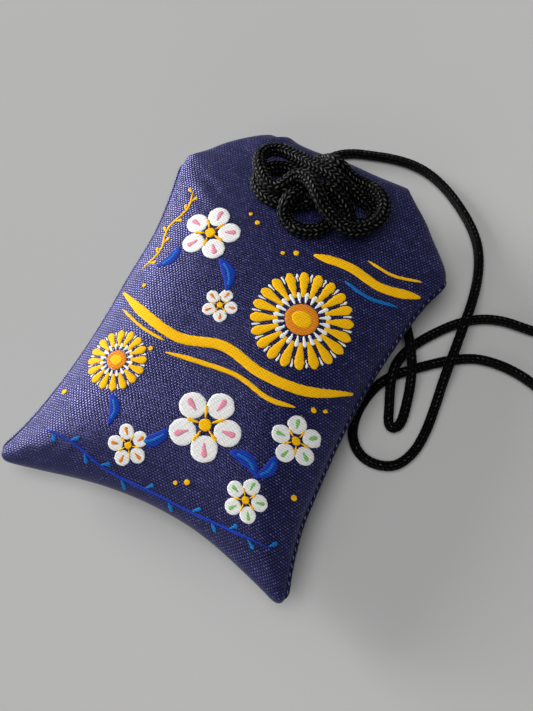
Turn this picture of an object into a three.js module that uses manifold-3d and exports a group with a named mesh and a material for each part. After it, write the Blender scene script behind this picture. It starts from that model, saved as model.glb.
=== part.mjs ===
// An omamori charm lying on its back: a padded brocade bag, its paper-wrapped wooden slip, a tied knot
// and a neck cord. Millimetres, +Z up, x across the bag, y from its foot to its top edge.
import * as THREE from 'three';
import { mergeVertices } from 'three/addons/utils/BufferGeometryUtils.js';
import Module from 'manifold-3d';

const wasm = await Module();
wasm.setup();

// Clearances
const CLEARANCE = 0.3;
const SOFT_CLEARANCE = 0.5;

// Bag outline, seen from the front
const BAG_HEIGHT = 69;
const BAG_FOOT_WIDTH = 50;
const BAG_WAIST_WIDTH = 43;
const BAG_WAIST_HEIGHT = 27;
const BAG_SHOULDER_WIDTH = 50.5;
const BAG_SHOULDER_HEIGHT = 57;
const BAG_SHOULDER_ROUNDING = 2.4;
const BAG_TOP_WIDTH = 26;
const BAG_FOOT_RISE = 3.3;

// Bag thickness
const CLOTH = 0.6;
const SEAM_SLIT = 0.4;
const FRONT_CROWN = 6.2;
const BACK_CROWN = 6.6;
const BACK_FLAT_DEPTH = 5;
const CROWN_TOP_SHARE = 0.22;
const CROWN_FOOT_REACH = 29;
const CROWN_FALL_START = 34;
const TOP_NOSE = 2.4;
const RIM_HEIGHT = BACK_FLAT_DEPTH + CLOTH + SEAM_SLIT / 2;

// Sewing thread of the side seams
const SEAM_THREAD = 0.7;
const SEAM_THREAD_PROUD = 0.12;
const SEAM_START = 1.5;
const SEAM_END_BELOW_SHOULDER = 1;

// Wooden slip, its paper sleeve and the wadding round them
const TABLET_WIDTH = 24;
const TABLET_LENGTH = 40;
const TABLET_THICKNESS = 1.2;
const TABLET_CORNER = 5;
const TABLET_CENTRE = 31;
const PAPER = 0.3;
const WRAPPER_LENGTH = 43;
const WADDING_SIDE_SHARE = 0.88;
const WADDING_FOOT = 4.2;
const WADDING_TOP = 55;

// Cord and knot
const CORD = 2;
const KNOT_X = 0.8;
const KNOT_BELOW_TOP = 8.2;
const KNOT_Y = BAG_HEIGHT - KNOT_BELOW_TOP;
const KNOT_LEVEL = 2.36;
const KNOT_REST = 0.45;
const LEAD_SPACING = 3.4;
const LEAD_ASIDE = 1.75;
const LEAD_RISE = 4.9;

// Neck cord, slimmer where it isn't bunched: height of what lies on the table, and the coil of the rest
const NECK_CORD = 1.6;
const CORD_ABOVE_TABLE = 0.08;
const CORD_LIE = NECK_CORD / 2 + CORD_ABOVE_TABLE;
const COIL_X = 62;
const COIL_BELOW_TOP = 10;
const COIL_Y = BAG_HEIGHT - COIL_BELOW_TOP;
const COIL_RADIUS = 13;
const COIL_TURNS = 7.5;
const COIL_PITCH = 2.06;
const COIL_START_ANGLE = -Math.PI / 2;

// Materials
const cloth = new THREE.MeshStandardMaterial({ color: 0x2c2a58, roughness: 0.7, metalness: 0 });
const braid = new THREE.MeshStandardMaterial({ color: 0x121214, roughness: 0.55, metalness: 0 });
const thread = new THREE.MeshStandardMaterial({ color: 0x3c4686, roughness: 0.6, metalness: 0 });
const wadding = new THREE.MeshStandardMaterial({ color: 0xf2efe6, roughness: 1, metalness: 0 });
const timber = new THREE.MeshStandardMaterial({ color: 0xd9b98a, roughness: 0.6, metalness: 0 });
const paper = new THREE.MeshStandardMaterial({ color: 0xf4f0e2, roughness: 0.9, metalness: 0 });

// Bag form: half width at a height, drawn in at the waist and cut off at the shoulders
function halfWidth(y) {
  const below = y < BAG_WAIST_HEIGHT;
  const span = below ? BAG_WAIST_HEIGHT : BAG_SHOULDER_HEIGHT - BAG_WAIST_HEIGHT;
  const endWidth = below ? BAG_FOOT_WIDTH : BAG_SHOULDER_WIDTH;
  const share = (y - BAG_WAIST_HEIGHT) / span;
  const side = (BAG_WAIST_WIDTH + (endWidth - BAG_WAIST_WIDTH) * share * share) / 2;
  const slant = (BAG_SHOULDER_WIDTH - BAG_TOP_WIDTH) / 2 / (BAG_HEIGHT - BAG_SHOULDER_HEIGHT);
  const shoulder = BAG_TOP_WIDTH / 2 + slant * (BAG_HEIGHT - y);
  const near = Math.max(1 - Math.abs(side - shoulder) / BAG_SHOULDER_ROUNDING, 0);
  return Math.min(side, shoulder) - near * near * BAG_SHOULDER_ROUNDING / 4;
}

// The foot's edge is drawn up between the two corner tips
function footEdge(u) {
  return BAG_FOOT_RISE * (0.5 + 0.5 * Math.cos(Math.PI * u));
}

// Share of the full crown across the bag and along it
function crownAcross(u) {
  return (1 - Math.min(Math.abs(u), 1) ** 2.6) ** 0.62;
}

function crownAlong(v) {
  const y = v * BAG_HEIGHT;
  const rise = Math.max(1 - y / CROWN_FOOT_REACH, 0);
  const foot = (1 - rise ** 2.4) ** 0.6;
  const fall = Math.min(Math.max((y - CROWN_FALL_START) / (BAG_HEIGHT - CROWN_FALL_START), 0), 1);
  const top = CROWN_TOP_SHARE + (1 - CROWN_TOP_SHARE) * (0.5 + 0.5 * Math.cos(Math.PI * fall));
  const nose = Math.min(Math.max((y - BAG_HEIGHT + TOP_NOSE) / TOP_NOSE, 0), 1);
  return foot * top * Math.sqrt(1 - nose * nose);
}

// Point of the cloth at share u across and v along; inset 0 is the outer face, 1 the inner one
function bagPoint(u, v, front, inset) {
  const edge = inset * CLOTH;
  const x = u * (halfWidth(v * BAG_HEIGHT) - edge);
  const foot = footEdge(u) + edge;
  const y = foot + (BAG_HEIGHT - edge - foot) * v;
  if (v === 0) return new THREE.Vector3(x, y, RIM_HEIGHT);
  const crown = (front ? FRONT_CROWN : BACK_CROWN) * crownAcross(u) * crownAlong(v);
  const depth = front ? crown : Math.min(crown, BACK_FLAT_DEPTH);
  const height = SEAM_SLIT / 2 + CLOTH - edge + depth;
  return new THREE.Vector3(x, y, RIM_HEIGHT + (front ? height : -height));
}

// Outer face of the cloth over a point of the plan
function bagFace(x, y, front) {
  let u = 0;
  let v = 0;
  for (let pass = 0; pass < 8; pass += 1) {
    v = (y - footEdge(u)) / (BAG_HEIGHT - footEdge(u));
    u = x / halfWidth(v * BAG_HEIGHT);
  }
  return bagPoint(u, v, front, 0).z;
}

// Stations crowded towards both ends, from 0 to 1
function crowded(count) {
  return Array.from({ length: count + 1 }, (_, i) => (1 - Math.cos(Math.PI * i / count)) / 2);
}

// Closed solid from two faces of the same grid of points, joined round their edges
function gridSolid(outer, inner) {
  const rows = outer.length;
  const columns = outer[0].length;
  const points = [...outer.flat(), ...inner.flat()];
  const under = rows * columns;
  const index = [];
  const quad = (a, b, c, d) => index.push(a, b, c, a, c, d);
  const at = (i, j) => i * columns + j;
  for (let i = 0; i + 1 < rows; i += 1) {
    for (let j = 0; j + 1 < columns; j += 1) {
      const corners = [at(i, j), at(i, j + 1), at(i + 1, j + 1), at(i + 1, j)];
      quad(...corners);
      quad(...corners.reverse().map((k) => k + under));
    }
  }
  const rim = [];
  for (let j = 0; j + 1 < columns; j += 1) rim.push(at(0, j));
  for (let i = 0; i + 1 < rows; i += 1) rim.push(at(i, columns - 1));
  for (let j = columns - 1; j > 0; j -= 1) rim.push(at(rows - 1, j));
  for (let i = rows - 1; i > 0; i -= 1) rim.push(at(i, 0));
  rim.forEach((a, k) => {
    const b = rim[(k + 1) % rim.length];
    quad(b, a, a + under, b + under);
  });
  const geometry = new THREE.BufferGeometry();
  geometry.setAttribute('position', new THREE.Float32BufferAttribute(points.flatMap((p) => p.toArray()), 3));
  geometry.setIndex(index);
  return geometry;
}

// Boolean cut of one closed geometry by others
function toManifold(geometry) {
  const bare = geometry.clone();
  bare.deleteAttribute('normal');
  bare.deleteAttribute('uv');
  const merged = mergeVertices(bare, 1e-5);
  return new wasm.Manifold(new wasm.Mesh({
    numProp: 3,
    vertProperties: new Float32Array(merged.attributes.position.array),
    triVerts: new Uint32Array(merged.index.array),
  }));
}

function cut(geometry, ...tools) {
  const solid = tools.reduce((body, tool) => body.subtract(toManifold(tool)), toManifold(geometry));
  const mesh = solid.getMesh();
  const result = new THREE.BufferGeometry();
  result.setAttribute('position', new THREE.BufferAttribute(mesh.vertProperties, 3));
  result.setIndex(new THREE.BufferAttribute(mesh.triVerts, 1));
  return result;
}

// Round tube along a curve, flat at both ends
function tube(curve, diameter, steps, sides) {
  const section = new THREE.Shape();
  for (let k = 0; k < sides; k += 1) {
    const turn = 2 * Math.PI * k / sides;
    const place = [Math.cos(turn) * diameter / 2, Math.sin(turn) * diameter / 2];
    if (k === 0) section.moveTo(...place);
    else section.lineTo(...place);
  }
  section.closePath();
  return new THREE.ExtrudeGeometry(section, { steps, extrudePath: curve, bevelEnabled: false });
}

// Least gap of a round cord to itself, between points more than twice its diameter apart along it
function leastGap(points, diameter) {
  const along = [0];
  for (let i = 1; i < points.length; i += 1) along.push(along[i - 1] + points[i].distanceTo(points[i - 1]));
  let least = Infinity;
  for (let i = 0; i < points.length; i += 1) {
    for (let j = i + 1; j < points.length; j += 1) {
      if (along[j] - along[i] < 2.1 * diameter) continue;
      least = Math.min(least, points[i].distanceTo(points[j]) - diameter);
    }
  }
  return least;
}

const part = new THREE.Group();
part.name = 'omamori_charm';
part.position.set(0, -BAG_HEIGHT / 2, 0);

function add(name, geometry, material, group = part) {
  const mesh = new THREE.Mesh(geometry, material);
  mesh.name = name;
  group.add(mesh);
  return mesh;
}

// Where the cord's two leads go through the bag
const LEAD_X = KNOT_X - LEAD_ASIDE;
const LEAD_Y = KNOT_Y + LEAD_RISE;
const leadX = (side) => LEAD_X + side * LEAD_SPACING / 2;
const HINGE_HEIGHT = bagFace(LEAD_X, LEAD_Y, true) + CORD / 2 + KNOT_REST;
const LEAD_FOOT = bagFace(LEAD_X, LEAD_Y, false) + CLOTH;

// Brocade bag: one strip folded at the foot, with a slit left at its sides and top
function brocadeBag() {
  const columns = crowded(14).map((t) => 2 * t - 1);
  const up = crowded(19);
  const strip = [...up.slice(1).reverse().map((v) => [v, false]), ...up.map((v) => [v, true])];
  const face = (inset) => strip.map(([v, front]) => columns.map((u) => bagPoint(u, v, front, inset)));
  const holes = [-1, 1].map((side) => {
    const hole = new THREE.CylinderGeometry(CORD / 2 + CLEARANCE, CORD / 2 + CLEARANCE, 3 * RIM_HEIGHT, 16);
    return hole.rotateX(Math.PI / 2).translate(leadX(side), LEAD_Y, RIM_HEIGHT);
  });
  return cut(gridSolid(face(0), face(1)), ...holes);
}

add('brocade_bag', brocadeBag(), cloth);

// Side seams: a thread in the groove where front and back meet
function sideSeam(side) {
  const top = BAG_SHOULDER_HEIGHT - SEAM_END_BELOW_SHOULDER;
  const points = [];
  const stations = 16;
  for (let k = 0; k <= stations; k += 1) {
    const y = SEAM_START + (top - SEAM_START) * k / stations;
    points.push(new THREE.Vector3(side * (halfWidth(y) + SEAM_THREAD_PROUD), y, RIM_HEIGHT));
  }
  return tube(new THREE.CatmullRomCurve3(points), SEAM_THREAD, 40, 6);
}

add('side_seam_left', sideSeam(-1), thread);
add('side_seam_right', sideSeam(1), thread);

// Wooden slip with cut top corners
function tablet() {
  const half = TABLET_WIDTH / 2;
  const shape = new THREE.Shape();
  shape.moveTo(-half, 0);
  shape.lineTo(half, 0);
  shape.lineTo(half, TABLET_LENGTH - TABLET_CORNER);
  shape.lineTo(half - TABLET_CORNER, TABLET_LENGTH);
  shape.lineTo(TABLET_CORNER - half, TABLET_LENGTH);
  shape.lineTo(-half, TABLET_LENGTH - TABLET_CORNER);
  shape.closePath();
  const slip = new THREE.ExtrudeGeometry(shape, { depth: TABLET_THICKNESS, bevelEnabled: false });
  return slip.translate(0, TABLET_CENTRE - TABLET_LENGTH / 2, RIM_HEIGHT - TABLET_THICKNESS / 2);
}

add('charm_tablet', tablet(), timber);

// Paper sleeve round the slip, open at both ends
const SLEEVE_WIDTH = TABLET_WIDTH + 2 * CLEARANCE;
const SLEEVE_DEPTH = TABLET_THICKNESS + 2 * CLEARANCE;

function packet(wall, length) {
  const box = new THREE.BoxGeometry(SLEEVE_WIDTH + 2 * wall, length, SLEEVE_DEPTH + 2 * wall);
  return box.translate(0, TABLET_CENTRE, RIM_HEIGHT);
}

add('charm_wrapper', cut(packet(PAPER, WRAPPER_LENGTH), packet(0, WRAPPER_LENGTH + 2 * PAPER)), paper);

// Wadding: a crowned pad on each side, with half of the packet's pocket pressed into it
function pad(front) {
  const columns = crowded(10).map((t) => WADDING_SIDE_SHARE * (2 * t - 1));
  const start = WADDING_FOOT / BAG_HEIGHT;
  const rows = crowded(13).map((t) => start + (WADDING_TOP / BAG_HEIGHT - start) * t);
  const way = front ? 1 : -1;
  const crown = rows.map((v) => columns.map((u) => {
    const point = bagPoint(u, v, front, 1);
    point.z -= way * SOFT_CLEARANCE;
    return point;
  }));
  const level = RIM_HEIGHT + way * SEAM_SLIT / 2;
  const flat = crown.map((row) => row.map((p) => new THREE.Vector3(p.x, p.y, level)));
  const solid = front ? gridSolid(crown, flat) : gridSolid(flat, crown);
  return cut(solid, packet(PAPER + CLEARANCE, WRAPPER_LENGTH + 2 * CLEARANCE));
}

add('front_wadding', pad(true), wadding);
add('back_wadding', pad(false), wadding);

// Leads: straight through the bag, with a round head that the knot hinges on
function lead(side) {
  const radius = CORD / 2;
  const profile = [new THREE.Vector2(0, LEAD_FOOT), new THREE.Vector2(radius, LEAD_FOOT)];
  const arcs = 6;
  for (let k = 0; k <= arcs; k += 1) {
    const turn = Math.PI / 2 * k / arcs;
    const out = k === arcs ? 0 : radius * Math.cos(turn);
    profile.push(new THREE.Vector2(out, HINGE_HEIGHT + radius * Math.sin(turn)));
  }
  return new THREE.LatheGeometry(profile, 16).rotateX(Math.PI / 2).translate(leadX(side), LEAD_Y, 0);
}

add('eyelet_lead_left', lead(-1), braid);
add('eyelet_lead_right', lead(1), braid);

// Knot: one unbroken cord from lead to lead, as cord radii across and up from its middle and a level
const KNOT_ROUTE = [
  // the strand along the top of the right wing
  [1.95, 3.95, 0], [3.2, 3.7, 0], [4.8, 3.8, 0], [6.7, 3.9, 0],
  // right wing, outer ring
  [8.9, 3.3, 0], [10.6, 1.8, 0], [11.5, -0.6, 0], [11, -3, 0], [9.4, -4.7, 0], [7.5, -5.5, 0.15],
  [5.9, -5.5, 0.6],
  // the arch over the middle
  [4.3, -5, 1.15], [2.8, -4.4, 1.6], [1.6, -3.6, 1.98], [0.4, -2.6, 2.15], [-0.9, -1.6, 2.15], [-2.3, -1, 1.98],
  [-3.7, -1.2, 1.7], [-4.7, -2.1, 1.45], [-5.3, -3.2, 1.25],
  // left wing, upper loop
  [-6.3, -3.9, 1.1], [-7.8, -3.7, 1.05], [-9.3, -2.7, 1.05], [-10.7, -1, 0.95], [-11.3, 0.9, 0.75],
  [-10.7, 2.5, 0.5], [-9.2, 3.2, 0.45], [-7.2, 3.2, 0.5], [-5.2, 2.9, 0.75], [-3.2, 2.5, 1.05],
  // over the top to the right
  [-1, 2.2, 1.35], [1, 1.9, 1.45], [2.9, 1.4, 1.35], [4.6, 0.9, 1],
  // right wing, inner ring
  [6.1, 0.6, 0.6], [7.5, 0.4, 0.25], [8.5, -0.2, 0.05], [8.9, -1.3, 0], [8.3, -2.5, 0], [7.1, -3.1, 0.05],
  [5.9, -2.9, 0.2], [5, -2.3, 0.55], [4.1, -1.7, 0.95],
  // the second arch
  [3.1, -1.1, 1.25], [1.8, -0.9, 1.32], [0.6, -1.4, 1.2], [0, -2.3, 0.95], [-0.2, -3.5, 0.65],
  // left wing, lower loop
  [-0.9, -4.7, 0.25], [-2.1, -5.4, 0], [-3.7, -5.8, 0], [-5.5, -5.9, 0], [-7.2, -5.6, 0], [-8.7, -4.9, 0],
  [-9.7, -3.8, 0], [-10.1, -2.5, 0], [-9.7, -1.1, 0], [-8.5, 0, 0], [-6.9, 0.6, 0], [-5.2, 0.6, 0],
  [-3.8, -0.1, 0.1],
  // the loop below
  [-2.9, -1.7, 0.45], [-2.7, -3.4, 0.9], [-2.8, -5, 1.1], [-2.8, -6.3, 0.95], [-2.4, -7.5, 0.4],
  [-1.5, -8.4, 0.03], [0.1, -8.8, 0], [1.9, -8.3, 0], [3.3, -7.1, 0], [3.8, -5.4, 0],
  // up behind the middle to the left tail
  [3.4, -3.8, 0], [2.4, -2.4, 0], [1.2, -0.9, 0], [0.2, 0.6, 0.05], [-0.8, 2.1, 0.05], [-1.85, 3.3, 0],
];
const RIGHT_TAIL_TURN = -0.45;
const LEFT_TAIL_TURN = -0.785;

// End of a tail, just clear of its lead's head
function tailEnd(side, turn) {
  const reach = CORD / 2 + CLEARANCE;
  return [leadX(side) + reach * Math.cos(turn), LEAD_Y + reach * Math.sin(turn), 0];
}

function knot() {
  const middle = KNOT_ROUTE.map(([across, up, level]) => [
    KNOT_X + across * CORD / 2, KNOT_Y + up * CORD / 2, level * KNOT_LEVEL,
  ]);
  const places = [tailEnd(1, RIGHT_TAIL_TURN), ...middle, tailEnd(-1, LEFT_TAIL_TURN)];
  const points = places.map(([x, y, rise]) => (
    new THREE.Vector3(x, y, bagFace(x, y, true) + CORD / 2 + KNOT_REST + rise)
  ));
  points[0].z = HINGE_HEIGHT;
  points[points.length - 1].z = HINGE_HEIGHT;
  const curve = new THREE.CatmullRomCurve3(points);
  console.log('knot: least gap to itself', leastGap(curve.getSpacedPoints(480), CORD).toFixed(2), 'mm');
  return tube(curve, CORD, 200, 8);
}

add('cord_knot', knot(), braid);

// Coil of the neck cord: two layers, spiralling in below and out again above
const COIL_LEVEL = COIL_PITCH;
const COIL_SAMPLES = 10;
const LAYER_TURNS = (COIL_TURNS - 0.5) / 2;

function coilPoint(turn) {
  const middle = COIL_TURNS / 2;
  const radius = COIL_RADIUS - COIL_PITCH * (middle - Math.abs(turn - middle));
  const climb = Math.min(Math.max((turn - LAYER_TURNS) / (COIL_TURNS - 2 * LAYER_TURNS), 0), 1);
  const angle = COIL_START_ANGLE + 2 * Math.PI * turn;
  const z = CORD_LIE + COIL_LEVEL * climb * climb * (3 - 2 * climb);
  return new THREE.Vector3(COIL_X + radius * Math.cos(angle), COIL_Y + radius * Math.sin(angle), z);
}

// Direction of the coil at one of its ends, level
function coilHeading(turn) {
  const angle = COIL_START_ANGLE + 2 * Math.PI * turn;
  return new THREE.Vector3(-Math.sin(angle), Math.cos(angle), 0);
}

// Point off one end of the coil, straight on by a distance
function offCoil(turn, distance) {
  return coilPoint(turn).addScaledVector(coilHeading(turn), turn === 0 ? -distance : distance);
}

// Tube through rings of points, each ring square to the route
function ringTube(route, diameter, sides) {
  const positions = [];
  const index = [];
  route.forEach((point, i) => {
    const ahead = route[Math.min(i + 1, route.length - 1)].clone().sub(route[Math.max(i - 1, 0)]).normalize();
    const aside = new THREE.Vector3(0, 0, 1).cross(ahead).normalize();
    const over = ahead.clone().cross(aside);
    for (let k = 0; k < sides; k += 1) {
      const turn = 2 * Math.PI * (k + 0.5) / sides;
      const place = point.clone();
      place.addScaledVector(aside, Math.cos(turn) * diameter / 2);
      place.addScaledVector(over, Math.sin(turn) * diameter / 2);
      positions.push(...place.toArray());
    }
  });
  const ring = (i, k) => i * sides + k % sides;
  for (let i = 0; i + 1 < route.length; i += 1) {
    for (let k = 0; k < sides; k += 1) {
      index.push(ring(i, k), ring(i, k + 1), ring(i + 1, k + 1));
      index.push(ring(i, k), ring(i + 1, k + 1), ring(i + 1, k));
    }
  }
  const last = route.length - 1;
  for (let k = 1; k + 1 < sides; k += 1) {
    index.push(ring(0, 0), ring(0, k + 1), ring(0, k));
    index.push(ring(last, 0), ring(last, k), ring(last, k + 1));
  }
  const geometry = new THREE.BufferGeometry();
  geometry.setAttribute('position', new THREE.Float32BufferAttribute(positions, 3));
  geometry.setIndex(index);
  return geometry;
}

function coil() {
  const steps = Math.round(24 * COIL_TURNS);
  const route = [offCoil(0, NECK_CORD)];
  for (let k = 0; k <= steps; k += 1) route.push(coilPoint(COIL_TURNS * k / steps));
  route.push(offCoil(COIL_TURNS, NECK_CORD));
  const samples = COIL_SAMPLES * steps;
  const fine = Array.from({ length: samples }, (_, k) => coilPoint(COIL_TURNS * k / samples));
  console.log('coil: least gap to itself', leastGap(fine, NECK_CORD).toFixed(2), 'mm');
  return ringTube(route, NECK_CORD, 6);
}

add('neck_cord_coil', coil(), braid);

// Neck cord, as x, distance above the bag's top edge and height. Left strand: out under the top edge,
// round beside the bag in a hook and away to the coil
const LEFT_ROUTE = [
  [-3.1, -1.6, 1.3], [-3.3, 0.4, CORD_LIE], [-2.2, 2.7, CORD_LIE], [0.3, 4.7, CORD_LIE], [3.8, 6, CORD_LIE],
  [7.6, 7, CORD_LIE], [11.2, 7.4, CORD_LIE], [14.7, 6.9, CORD_LIE], [18.4, 5.4, CORD_LIE],
  [21.4, 3.6, CORD_LIE], [24.3, 1.3, CORD_LIE], [26.8, -1.4, CORD_LIE], [28.5, -4.6, CORD_LIE],
  [29.7, -8.1, 1.2], [30.6, -13.2, 2.5], [30.9, -16.5, 2.85], [31.4, -21.6, 2.85], [31.6, -24.2, 2.65],
  [31.9, -27, 1.8], [32.4, -30.6, 1], [32.8, -35.6, CORD_LIE], [32.4, -39.4, CORD_LIE],
  [30.8, -42.4, CORD_LIE], [27.9, -43.6, CORD_LIE], [25.1, -43.3, CORD_LIE], [22.9, -41.4, CORD_LIE],
  [21.9, -38.7, CORD_LIE], [21.8, -35.8, CORD_LIE], [22.4, -32.6, CORD_LIE], [23.6, -30.1, CORD_LIE],
  [25.6, -27.8, CORD_LIE], [28.2, -25.4, CORD_LIE], [31.4, -22.8, CORD_LIE], [34.8, -20.8, CORD_LIE],
  [38.6, -20, CORD_LIE], [42.6, -20.1, CORD_LIE], [47, -21.1, CORD_LIE], [51.5, -22.3, CORD_LIE],
  [55, -22.9, CORD_LIE],
];

// Right strand: under the right shoulder, out beside the bag, back in a V and away to the coil
const RIGHT_ROUTE = [
  [1.9, -4, 2], [4.4, -5.4, 1.1], [9.2, -7.8, CORD_LIE], [14, -11.6, CORD_LIE], [18.2, -15.8, 1],
  [21.2, -19.2, 1.7], [23.2, -21.8, 2.75], [24.7, -24, 2.9], [25.9, -26, 2.9], [26.8, -28, 2.8],
  [27.7, -30.6, 1.65], [28.4, -33.6, 0.95], [28.7, -35.9, CORD_LIE], [28.1, -37.3, CORD_LIE],
  [27.1, -37, CORD_LIE], [26.2, -34.9, CORD_LIE], [25.2, -32.6, 1.6], [24.4, -30.6, 2.8], [24, -28.7, 2.85],
  [24, -26.6, 1.9], [24.6, -24.1, CORD_LIE], [25.8, -21.8, CORD_LIE], [27.6, -19.2, CORD_LIE],
  [30.2, -16.2, CORD_LIE], [33.2, -14, CORD_LIE], [36.6, -12.8, CORD_LIE], [40.4, -12.4, CORD_LIE],
  [43.2, -11.9, CORD_LIE], [45.6, -10.2, CORD_LIE], [46.7, -7.2, CORD_LIE], [47.9, -3.4, 1.1],
  [50.8, 0.4, 1.8], [54.8, 2.6, 2.6],
];

function strand(side, route, coilEnd, steps) {
  const start = new THREE.Vector3(leadX(side), LEAD_Y, LEAD_FOOT - CLEARANCE);
  const below = start.clone().setZ(start.z - NECK_CORD / 3);
  const points = [start, below, ...route.map(([x, above, z]) => new THREE.Vector3(x, BAG_HEIGHT + above, z))];
  points.push(offCoil(coilEnd, 2 * NECK_CORD + CLEARANCE), offCoil(coilEnd, NECK_CORD + CLEARANCE));
  const curve = new THREE.CatmullRomCurve3(points);
  console.log('neck cord strand length', curve.getLength().toFixed(1), 'mm');
  return tube(curve, NECK_CORD, steps, 8);
}

add('neck_cord_left', strand(-1, LEFT_ROUTE, 0, 84), braid);
add('neck_cord_right', strand(1, RIGHT_ROUTE, COIL_TURNS, 84), braid);

export default part;
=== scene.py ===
import math

import bpy
import numpy as np
from mathutils import Matrix, Vector


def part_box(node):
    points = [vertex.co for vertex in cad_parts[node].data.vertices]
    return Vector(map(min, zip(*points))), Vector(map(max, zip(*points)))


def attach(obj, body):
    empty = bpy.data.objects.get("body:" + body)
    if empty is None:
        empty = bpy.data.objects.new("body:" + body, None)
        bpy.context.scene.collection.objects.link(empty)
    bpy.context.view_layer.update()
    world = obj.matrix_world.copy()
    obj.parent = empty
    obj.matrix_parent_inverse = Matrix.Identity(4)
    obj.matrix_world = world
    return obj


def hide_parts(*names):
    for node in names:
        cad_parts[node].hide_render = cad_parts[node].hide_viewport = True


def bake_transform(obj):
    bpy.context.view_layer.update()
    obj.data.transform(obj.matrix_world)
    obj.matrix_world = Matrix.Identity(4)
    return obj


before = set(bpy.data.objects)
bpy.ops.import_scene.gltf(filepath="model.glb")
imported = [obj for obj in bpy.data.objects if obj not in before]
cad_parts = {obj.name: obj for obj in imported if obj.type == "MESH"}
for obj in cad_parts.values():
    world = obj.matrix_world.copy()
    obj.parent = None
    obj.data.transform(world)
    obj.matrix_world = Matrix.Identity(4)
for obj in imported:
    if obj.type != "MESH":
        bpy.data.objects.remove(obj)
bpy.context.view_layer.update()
MM = 0.001

# Bag outline and thickness
BAG_LOW, BAG_HIGH = (np.array(corner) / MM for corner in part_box("brocade_bag"))
BAG_HEIGHT = BAG_HIGH[1] - BAG_LOW[1]
FOOT_WIDTH = 50.0
WAIST_WIDTH, WAIST_Y = 43.0, 27.0
SHOULDER_WIDTH, SHOULDER_Y, SHOULDER_ROUNDING = 50.5, 57.0, 2.4
TOP_WIDTH = 26.0
FOOT_RISE = 3.3
TIP_ROUNDING, TIP_REACH = 1.15, 2.4
FRONT_CROWN, BACK_CROWN, BACK_FLAT = 6.2, 6.6, 5.0
CROWN_TOP_SHARE, CROWN_FOOT_REACH, CROWN_FALL_START, TOP_NOSE = 0.22, 29.0, 34.0, 2.4
CROWN_SIDE_POWERS, CROWN_FOOT_POWERS = (2.6, 0.62), (2.4, 0.6)
EDGE_ROLL, SIDE_ROLL_POWER, END_ROLL_POWER = 0.8, 60, 90
RIM_HEIGHT = 5.8

# How the sewn outline strays from the even one: soft steps on the left, and humps by height, middle and reach
LEFT_IN, LEFT_IN_START, LEFT_IN_REACH = 1.28, 39.0, 2.5
LEFT_SHOULDER, LEFT_TOP_IN, LEFT_TOP_START, LEFT_STEP_REACH = 57.7, 0.45, 67.6, 0.5
LEFT_SHOULDER_HUMPS = ((-0.30, 60.4, 1.5), (0.30, 64.4, 2.2))
LEFT_HUMPS = ((0.40, 0.0, 7.0),)
RIGHT_HUMPS = ((0.50, 55.5, 3.2), (0.50, 60.2, 2.8), (0.55, 64.2, 2.2), (-0.35, 11.0, 5.0))
BOTH_HUMPS = ((0.55, 0.0, 3.5),)
FOOT_HUMPS, FOOT_TIP_HUMPS = ((0.75, 0.46, 0.34), (-0.65, -0.84, 0.26)), ((-0.90, 1.0, 0.16),)
TOP_HUMPS = (
    (-0.80, -5.0, 6.0), (-0.45, 7.5, 5.5), (-0.75, -13.0, 2.0), (0.28, -9.6, 1.3), (-0.22, -11.4, 0.8),
)
SHOULDER_EDGE_POWER, FOOT_FADE_POWER, TOP_FADE_POWER = 4, 7, 16
TIP_POWER, TIP_ACROSS, TIP_ALONG = 1.7, 0.79, 0.61

# Slack in the front cloth: smoother at the shoulders, gathered at the top
SMOOTH_SHARE, SMOOTH_START, SMOOTH_REACH = 0.8, 52.0, 2.0
GATHER_HEIGHT, GATHER_REACH, GATHER_PITCH, GATHER_PHASE, GATHER_END_POWER = 0.20, 4.5, 7.5, 0.6, 40
SLACK_DEPTH = 2.0

# Cord, knot and coil
KNOT_X, KNOT_Y = 0.8, 60.8
KNOT_CORD, KNOT_LEVEL, KNOT_REST = 2.26, 2.05, 0.02
LEAD_X, LEAD_Y, LEAD_SPACING = -0.95, 65.7, 3.4
NECK_CORD = 1.6
CORD_LIE = 0.88
COIL_X, COIL_Y, COIL_RADIUS, COIL_TURNS, COIL_PITCH = 62.0, 59.0, 13.0, 7.5, 2.06
COIL_START_ANGLE = -math.pi / 2

# Braid of the cord
BRAID_COLUMNS = 10
BRAID_SLANT = 0.9
BRAID_ROUNDNESS, BRAID_END_POWER, BRAID_MEAN = 3.8, 2.4, 0.7
BRAID_COLUMN_SEED = 37
TUBE_START_SIDE = (0.31, 0.86, 0.41)


def place(points):
    """Points in bag millimetres as frame metres."""
    return (np.asarray(points, float) + (0.0, BAG_LOW[1], 0.0)) * MM


# Meshes
def mesh_piece(name, points, faces, material, body="pouch"):
    mesh = bpy.data.meshes.new(name)
    mesh.from_pydata(place(points).tolist(), [], faces)
    mesh.polygons.foreach_set("use_smooth", [True] * len(mesh.polygons))
    mesh.materials.append(material)
    piece = bpy.data.objects.new(name, mesh)
    bpy.context.scene.collection.objects.link(piece)
    if body:
        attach(piece, body)
    return piece


def point_values(piece, name, values):
    """Stores one vector for each point, for the materials to read."""
    layer = piece.data.attributes.new(name, "FLOAT_VECTOR", "POINT")
    layer.data.foreach_set("vector", np.asarray(values, np.float32).ravel())


TURNED_OVER = [0, 3, 2, 1]


def grid_quads(at):
    """Quads between the points of a grid, whose numbers stand in rows."""
    return np.stack([at[:-1, :-1], at[:-1, 1:], at[1:, 1:], at[1:, :-1]], -1).reshape(-1, 4)


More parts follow.
